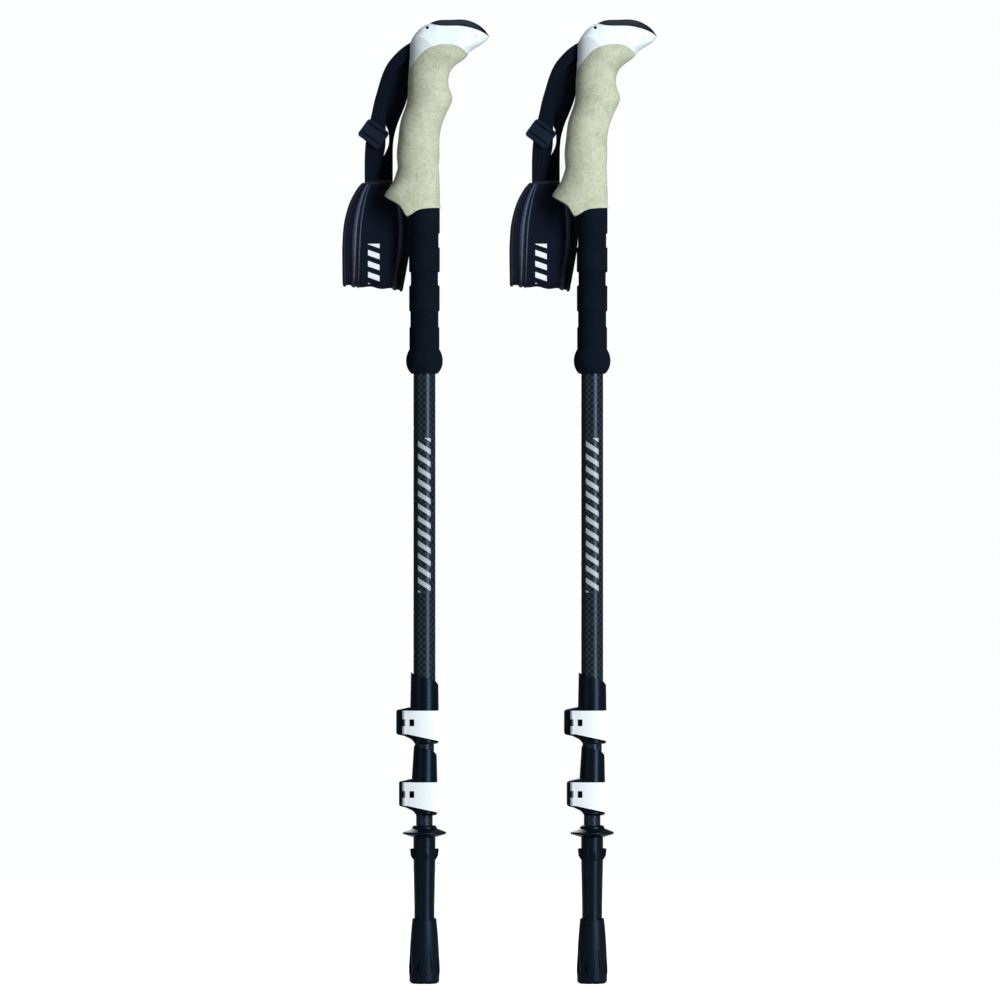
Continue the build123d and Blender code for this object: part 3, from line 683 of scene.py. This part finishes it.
def cloth_grid(name, columns, rows, place):
    """A grid laid through place(across, along), both 0 to 1, with its size in metres as its map."""
    bpy.ops.object.select_all(action="DESELECT")
    bpy.ops.mesh.primitive_grid_add(x_subdivisions=columns, y_subdivisions=rows, size=1)
    piece = bpy.context.object
    piece.name = piece.data.name = name
    shares = [(v.co.x + 0.5, v.co.y + 0.5) for v in piece.data.vertices]
    for vertex, (across, along) in zip(piece.data.vertices, shares):
        vertex.co = place(across, along)
    middle = [place(0.5, row / rows) for row in range(rows + 1)]
    lengths = [0.0]
    for near, far in zip(middle, middle[1:]):
        lengths.append(lengths[-1] + (far - near).length)
    layer = piece.data.uv_layers[0]
    layer.name = "cloth"
    for loop in piece.data.loops:
        across, along = shares[loop.vertex_index]
        width = (place(1.0, along) - place(0.0, along)).length
        layer.data[loop.index].uv = ((across - 0.5) * width, lengths[round(along * rows)])
    return piece


def apply_modifier(piece, kind, **settings):
    """Adds a modifier, sets it and applies it."""
    bpy.ops.object.select_all(action="DESELECT")
    piece.select_set(True)
    bpy.context.view_layer.objects.active = piece
    modifier = piece.modifiers.new(kind.lower(), kind)
    for name, value in settings.items():
        setattr(modifier, name, value)
    bpy.ops.object.modifier_apply(modifier=modifier.name)


def outward(piece):
    """Turns every face of a closed piece outwards and smooths the shading."""
    bpy.ops.object.select_all(action="DESELECT")
    piece.select_set(True)
    bpy.context.view_layer.objects.active = piece
    bpy.ops.object.mode_set(mode="EDIT")
    bpy.ops.mesh.select_all(action="SELECT")
    bpy.ops.mesh.normals_make_consistent(inside=False)
    bpy.ops.object.mode_set(mode="OBJECT")
    bpy.ops.object.shade_smooth()


# ---- strap webbing -------------------------------------------------------------------------------
# The tape's outer and inner edge (x, z, x, z) in millimetres from the pole's axis and the ground, head to pad
FRONT_LEG = [
    (-9.5, 683, -9.5, 669.8),
    (-11.6, 682.3, -11.6, 670.8),
    (-17.4, 678.3, -17, 667),
    (-23.3, 672.4, -21.5, 663),
    (-27.6, 666.6, -24, 659),
    (-31, 659, -25.9, 652.5),
    (-33.8, 650, -27.2, 645),
    (-36.4, 641, -27.9, 637),
    (-38.4, 632, -28.1, 628),
    (-40.8, 622, -28.3, 618),
    (-42.9, 611, -28.6, 608),
    (-43.6, 600, -30.5, 599),
    (-43.7, 590, -32.8, 590),
    (-43.7, 579, -34.5, 579),
]
BACK_LEG = [
    (-9.5, 682, -9.5, 670.2),
    (-12.5, 680, -10.6, 665.5),
    (-18, 674.5, -10.7, 658),
    (-24, 667, -11, 651),
    (-28, 657, -12.2, 645),
    (-29.6, 647, -13.8, 639.5),
    (-29.8, 636, -16.6, 632.5),
    (-28.8, 626, -19.6, 625.5),
    (-26.2, 619, -22.2, 617),
    (-26.2, 610, -23.2, 610),
    (-30.5, 601, -23.3, 601),
    (-36, 592, -23.3, 592),
    (-41.5, 583, -23.3, 583),
    (-43, 579, -23.5, 579),
]
HINGE_Z, SETTLED_Z = 683.0, 590.4  # the legs lean back between these levels
FRONT_DEPTH = (-1.0, 15.0)  # the front leg's depth behind the axis, at the head and at the pad
BACK_DEPTH = (1.0, 24.6)
TAPE, TAPE_ROUND = 0.0015, 0.00045  # the tape's thickness and its edges' rounding
TAPE_CROWN = 0.35  # how far the tape bows forwards, in millimetres


def tape_leg(side, name, stations, depths):
    """One leg of the strap, a woven tape that leans back from the head to the pad."""
    axis = AXES[side]

    def place(across, along):
        outer_x, outer_z, inner_x, inner_z = smooth_between(stations, along)
        x = outer_x + (inner_x - outer_x) * across
        z = outer_z + (inner_z - outer_z) * across
        fallen = limited((HINGE_Z - z) / (HINGE_Z - SETTLED_Z))
        crown = TAPE_CROWN * math.sin(math.pi * across) * math.sin(math.pi * along)
        y = depths[0] + (depths[1] - depths[0]) * fallen - crown
        return axis + Vector((x, y, z)) * MM

    piece = cloth_grid(f"{side}_{name}", 10, 90, place)
    apply_modifier(piece, "SOLIDIFY", thickness=TAPE, offset=0.0)
    rounding = {"width": TAPE_ROUND, "segments": 2, "limit_method": "ANGLE"}
    apply_modifier(piece, "BEVEL", angle_limit=math.radians(50), **rounding)
    outward(piece)
    dress(piece, "webbing")
    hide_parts(f"{side}_strap_webbing")
    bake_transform(piece)


# ---- wrist band ----------------------------------------------------------------------------------
# The band's left and right edge (x, z) in millimetres, top to bottom
BAND_LEFT = [
    (-43.8, 582.4),
    (-48.6, 576.4),
    (-53.8, 566),
    (-57.4, 552),
    (-58.6, 536),
    (-58.6, 520),
    (-58.4, 504.5),
]
BAND_RIGHT = [
    (-23.2, 582.4),
    (-19, 576),
    (-14, 566),
    (-11.6, 552),
    (-11.9, 536),
    (-14.5, 520),
    (-17.6, 504.5),
]
BAND_TOP, BAND_BOTTOM = BAND_LEFT[0][1], BAND_LEFT[-1][1]
BEND_Z = 511.1  # the two layers are flat above this height
FRONT_Y, BACK_Y = 15.0, 24.6  # the middles of the two layers
BEND_R = (BACK_Y - FRONT_Y) / 2
BELLY, BELLY_RUN = 0.9, 78.0  # how far the layers bow outwards, and over what height
DROOP_FROM, DROOP_RUN = 540.0, 36.0  # the bottom edge is uneven below this height
BAND_COLUMNS, BAND_ROWS = 26, 84
SEAMS = (4 / BAND_COLUMNS, 23 / BAND_COLUMNS)
BAND_SHELL, PUFF = 0.0017, 0.0011  # the unfilled thickness, and how far the filling may push a face out
EDGE_STEPS, LEVELS = 200, 160


def edge_x(stations, height):
    """The x of a band edge at a height."""
    for step in range(EDGE_STEPS):
        x, z = smooth_between(stations, step / (EDGE_STEPS - 1))
        if z <= height:
            break
    return x


EDGE_TABLE = [
    [edge_x(stations, BAND_TOP - (BAND_TOP - BAND_BOTTOM) * level / LEVELS) for level in range(LEVELS + 1)]
    for stations in (BAND_LEFT, BAND_RIGHT)
]


def band_edges(height):
    """Left and right x of the band at a height."""
    spot = limited((BAND_TOP - height) / (BAND_TOP - BAND_BOTTOM)) * LEVELS
    low = min(int(spot), LEVELS - 1)
    return [row[low] + (row[low + 1] - row[low]) * (spot - low) for row in EDGE_TABLE]


def band_point(side, across, along, lift=0.0):
    """A point on the band, going down the front, round the bend and up the back; lift is outwards."""
    straight, turn = BAND_TOP - BEND_Z, math.pi * BEND_R
    walked = along * (2 * straight + turn)
    if walked < straight:
        y, z, out_y, out_z = FRONT_Y, BAND_TOP - walked, -1.0, 0.0
    elif walked < straight + turn:
        angle = (walked - straight) / BEND_R
        out_y, out_z = -math.cos(angle), -math.sin(angle)
        y, z = (FRONT_Y + BACK_Y) / 2 + BEND_R * out_y, BEND_Z + BEND_R * out_z
    else:
        y, z, out_y, out_z = BACK_Y, BEND_Z + walked - straight - turn, 1.0, 0.0
    left, right = band_edges(z)
    x = left + (right - left) * across
    droop = limited((DROOP_FROM - z) / DROOP_RUN) ** 2
    sag = droop * (2.0 - 3.4 * across + 0.7 * math.sin(across * 17.0))
    raised = lift / MM
    if abs(out_y) > 0.99:
        bow = math.sin(math.pi * across) * math.sin(math.pi * limited((BAND_TOP - z) / BELLY_RUN))
        y += out_y * BELLY * bow
    return AXES[side] + Vector((x, y + out_y * raised, z + sag + out_z * raised)) * MM


def padded_band(side):
    """The wrist band: a knitted sleeve over thin padding, stitched down two seams and filled by pressure."""

    def place(across, along):
        return band_point(side, across, along)

    piece = cloth_grid(f"{side}_padded_band", BAND_COLUMNS, BAND_ROWS, place)
    sewn_columns = {0, BAND_COLUMNS} | {round(seam * BAND_COLUMNS) for seam in SEAMS}
    fixed = []
    for vertex in piece.data.vertices:
        row, column = divmod(vertex.index, BAND_COLUMNS + 1)
        if column in sewn_columns or row in (0, BAND_ROWS):
            fixed.append(vertex.index)
    pin = piece.vertex_groups.new(name="pin")
    pin.add(fixed, 1.0, "REPLACE")
    apply_modifier(piece, "SOLIDIFY", thickness=BAND_SHELL, offset=0.0)
    outward(piece)
    before = [vertex.co.copy() for vertex in piece.data.vertices]
    fill(piece)
    for vertex, rest in zip(piece.data.vertices, before):
        move = vertex.co - rest
        if move.length > PUFF:
            vertex.co = rest + move * (PUFF / move.length)
    apply_modifier(piece, "SUBSURF", levels=1, render_levels=1)
    bpy.ops.object.shade_smooth()
    dress(piece, f"band_{side}")
    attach(piece, f"{side}_strap")
    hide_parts(f"{side}_wrist_pad")


FILL_PRESSURE, FILL_FRAMES = 4.0, 20


def fill(piece):
    """Blows the sleeve up round its seams, as its padding does."""
    cloth = piece.modifiers.new("cloth", "CLOTH")
    settings = cloth.settings
    settings.quality, settings.mass = 6, 0.15
    settings.use_pressure, settings.uniform_pressure_force = True, FILL_PRESSURE
    settings.tension_stiffness = settings.compression_stiffness = 12
    settings.shear_stiffness, settings.bending_stiffness = 6, 0.4
    settings.vertex_group_mass = "pin"
    settings.effector_weights.gravity = 0
    cloth.collision_settings.use_collision = False
    cloth.point_cache.frame_start, cloth.point_cache.frame_end = 1, FILL_FRAMES
    for frame_number in range(1, FILL_FRAMES + 1):
        scene.frame_set(frame_number)
    bpy.ops.object.select_all(action="DESELECT")
    piece.select_set(True)
    bpy.context.view_layer.objects.active = piece
    bpy.ops.object.modifier_apply(modifier="cloth")
    scene.frame_set(1)


BAND_WIDTH = 0.047  # at its widest
TRIM_THICKNESS = 0.0004


def finish_trim(piece, side, key):
    """Thickens a sewn-on tape, dresses it and hangs it on the strap."""
    apply_modifier(piece, "SOLIDIFY", thickness=TRIM_THICKNESS, offset=0.0)
    outward(piece)
    dress(piece, key)
    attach(piece, f"{side}_strap")


def raised_tape(side, name, centre, width, height):
    """A satin tape sewn over the band, domed across, at centre (0 to 1) of the band's width."""

    def place(across, along):
        angle = math.pi * across
        shift = -math.cos(angle) * width / 2 / BAND_WIDTH
        lift = BAND_SHELL / 2 + height * math.sin(angle) - 0.0001
        return band_point(side, centre + shift, 0.004 + 0.992 * along, lift)

    finish_trim(cloth_grid(f"{side}_{name}", 6, 120, place), side, "satin_piping")


def edge_binding(side, name, across, outwards):
    """A narrow tape folded round one long edge of the band."""
    fold, turn = 0.0015, math.radians(115)

    def place(around, along):
        angle = (around * 2 - 1) * turn
        reach = (math.cos(angle) * fold - 0.0003) * outwards
        spot = band_point(side, across, 0.003 + 0.994 * along, math.sin(angle) * fold)
        return spot + Vector((reach, 0, 0))

    finish_trim(cloth_grid(f"{side}_{name}", 8, 120, place), side, "binding_tape")


def end_binding(side, name, along):
    """The tape folded over the band's top edge, where the webbing goes in."""
    fold, turn = 0.0018, math.radians(120)

    def place(around, across):
        angle = (around * 2 - 1) * turn
        spot = band_point(side, 0.01 + 0.98 * across, along, math.sin(angle) * fold)
        return spot + Vector((0, 0, math.cos(angle) * fold - 0.0008))

    finish_trim(cloth_grid(f"{side}_{name}", 8, 30, place), side, "binding_tape")


STITCH_WIDTH = 0.00038
SIDE_STITCHES, END_STITCHES = 62, 12
# Each line's place across the band and its height over the band's middle layer
STITCH_LINES = [
    (0.05, 0.00105),
    (0.95, 0.00105),
    (SEAMS[0] + 0.05, 0.0013),
    (SEAMS[1] - 0.045, 0.0013),
]


def stitch_row(side, name, spots):
    """Short raised stitches; spots are pairs of end points."""
    bpy.ops.object.select_all(action="DESELECT")
    bpy.ops.mesh.primitive_uv_sphere_add(segments=6, ring_count=4, radius=0.5)
    model = bpy.context.object
    shape = [vertex.co.copy() for vertex in model.data.vertices]
    faces = [list(face.vertices) for face in model.data.polygons]
    bpy.data.objects.remove(model)
    points, polygons = [], []
    for start, end in spots:
        along = end - start
        turn = along.to_track_quat("Z", "Y")
        size = Vector((STITCH_WIDTH, STITCH_WIDTH, along.length))
        count = len(points)
        points += [(start + end) / 2 + turn @ (corner * size) for corner in shape]
        polygons += [[count + corner for corner in face] for face in faces]
    mesh = bpy.data.meshes.new(f"{side}_{name}")
    mesh.from_pydata(points, [], polygons)
    piece = bpy.data.objects.new(f"{side}_{name}", mesh)
    scene.collection.objects.link(piece)
    bpy.context.view_layer.objects.active = piece
    piece.select_set(True)
    bpy.ops.object.shade_smooth()
    dress(piece, "thread")
    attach(piece, f"{side}_strap")


def band_stitches(side):
    """Stitch lines inside both bindings and beside both seams, and along the top edges."""
    spots = []
    for across, lift in STITCH_LINES:
        for step in range(SIDE_STITCHES):
            ends = [(step + part) / SIDE_STITCHES for part in (0.2, 0.8)]
            spots.append([band_point(side, across, along, lift) for along in ends])
    for along in (0.016, 0.984):
        for step in range(END_STITCHES):
            ends = [0.06 + 0.88 * (step + part) / END_STITCHES for part in (0.15, 0.85)]
            spots.append([band_point(side, across, along, 0.0014) for across in ends])
    stitch_row(side, "band_stitches", spots)


for side in SIDES:
    tape_leg(side, "webbing_front_leg", FRONT_LEG, FRONT_DEPTH)
    tape_leg(side, "webbing_back_leg", BACK_LEG, BACK_DEPTH)
    padded_band(side)
    # The satin tapes' blue-grey is painted sheen along the band's seams.
    raised_tape(side, "satin_piping_left", SEAMS[0], 0.0034, 0.0010)
    raised_tape(side, "satin_piping_inner", SEAMS[0] + 0.085, 0.0012, 0.0006)
    raised_tape(side, "satin_piping_right", SEAMS[1], 0.0034, 0.0010)
    edge_binding(side, "binding_left", 0.0, -1)
    edge_binding(side, "binding_right", 1.0, 1)
    end_binding(side, "binding_front_top", 0.0)
    end_binding(side, "binding_back_top", 1.0)
    band_stitches(side)

# ---- floor ---------------------------------------------------------------------------------------
FLOOR_R = 1.5
bpy.ops.object.select_all(action="DESELECT")
bpy.ops.mesh.primitive_circle_add(vertices=96, radius=FLOOR_R, fill_type="NGON", location=(0, 0, 0))
floor = bpy.context.object
floor.name = "floor"
bpy.ops.object.mode_set(mode="EDIT")
bpy.ops.mesh.select_all(action="SELECT")
bpy.ops.mesh.inset(thickness=0.1)
bpy.ops.object.mode_set(mode="OBJECT")
paper, tree, shader = new_material("pale_paper", Roughness=0.9)
shader.inputs["Base Color"].default_value = colour(200, 202, 205)
shader.inputs["Emission Color"].default_value = (0.98, 0.99, 1.0, 1.0)
seen = put(tree, "ShaderNodeLightPath").outputs["Is Camera Ray"]
tree.links.new(calc(tree, "MULTIPLY", seen, FLOOR_GLOW), shader.inputs["Emission Strength"])
floor.data.materials.append(paper)
